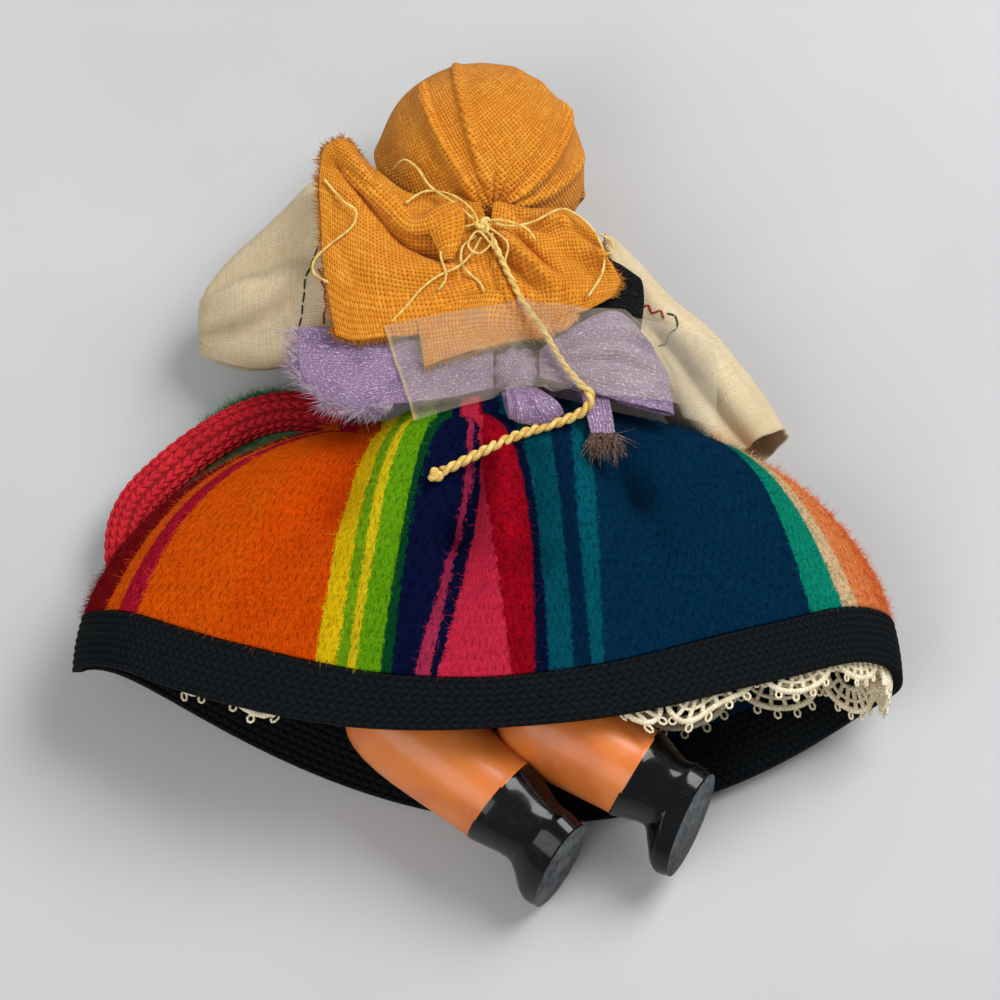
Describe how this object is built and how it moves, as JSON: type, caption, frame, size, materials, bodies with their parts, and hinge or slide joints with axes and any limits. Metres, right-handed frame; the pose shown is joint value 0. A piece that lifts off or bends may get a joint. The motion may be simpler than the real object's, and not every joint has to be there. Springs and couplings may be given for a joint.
{
  "type": "folk doll",
  "caption": "Small moulded doll lying face down in folk dress: tied headscarf, blouse, vest, striped gathered skirt, apron, sash and boots.",
  "frame": {"origin": "middle of the doll's whole box, on the surface that it lies on", "axes": "+X to the right as the doll is seen from behind, +Y up the doll towards its head, +Z out of its back, away from the surface"},
  "size_m": [0.1284, 0.1364, 0.0352],
  "materials": {
    "celluloid": "semi-gloss flesh-orange moulding, with glossy black painted boots and matte soles",
    "shell": "semi-gloss flesh-coloured moulding",
    "elastic": "dull rubber cord",
    "scarf_cotton": "loose plain-weave golden-orange cotton with frayed edges",
    "yellow_thread": "twisted yellow cotton thread",
    "blouse_cotton": "thin cream cotton with coloured stitches",
    "vest_felt": "matte black felt",
    "petticoat_cotton": "plain pinkish beige cotton",
    "lace": "cream crochet lace",
    "skirt_wool": "fuzzy striped wool in many colours",
    "waistband_cotton": "plain dark cotton tape",
    "black_braid": "ribbed flat black braid",
    "apron_wool": "fuzzy green wool",
    "red_braid": "knitted red braid",
    "ribbon": "lavender satin ribbon with frayed ends",
    "clear_tape": "thin clear adhesive tape, slightly yellowed"
  },
  "bodies": {
    "torso": {"body_front_shell": "shell", "body_back_shell": "shell", "arm_elastic": "elastic", "leg_elastic": "elastic", "blouse": "blouse_cotton", "vest": "vest_felt", "skirt": "skirt_wool", "hem_braid": "black_braid", "petticoat": "petticoat_cotton", "lace_edging": "lace", "apron": "apron_wool", "apron_braid": "red_braid", "skirt_waistband": "waistband_cotton", "sash_band": "ribbon", "sash_knot": "ribbon", "sash_left_tail": "ribbon", "sash_right_loop": "ribbon", "sash_lower_loop": "ribbon", "sash_short_tail": "ribbon", "headscarf": "scarf_cotton", "nape_knot": "yellow_thread", "twisted_cord": "yellow_thread", "cord_knot": "yellow_thread", "loose_thread_1": "yellow_thread", "loose_thread_2": "yellow_thread", "loose_thread_3": "yellow_thread", "loose_thread_4": "yellow_thread", "loose_thread_5": "yellow_thread", "tape_strip": "clear_tape"},
    "left_arm": {"left_arm": "shell", "left_sleeve": "blouse_cotton"},
    "right_arm": {"right_arm": "shell", "right_sleeve": "blouse_cotton"},
    "left_leg": {"left_leg": "celluloid"},
    "right_leg": {"right_leg": "celluloid"}
  },
  "joints": [
    {"name": "left_shoulder", "type": "hinge", "parent": "torso", "child": "left_arm", "pos_m": [-0.01245, 0.03348, 0.0154], "axis": [1, 0, 0], "range_deg": [-20, 60]},
    {"name": "right_shoulder", "type": "hinge", "parent": "torso", "child": "right_arm", "pos_m": [0.01635, 0.03348, 0.0154], "axis": [1, 0, 0], "range_deg": [0, 60]},
    {"name": "left_hip", "type": "hinge", "parent": "torso", "child": "left_leg", "pos_m": [-0.00555, -0.01552, 0.0144], "axis": [1, 0, 0], "range_deg": [-4, 4]},
    {"name": "right_hip", "type": "hinge", "parent": "torso", "child": "right_leg", "pos_m": [0.01145, -0.01552, 0.0144], "axis": [1, 0, 0], "range_deg": [-3, 2.5]}
  ]
}
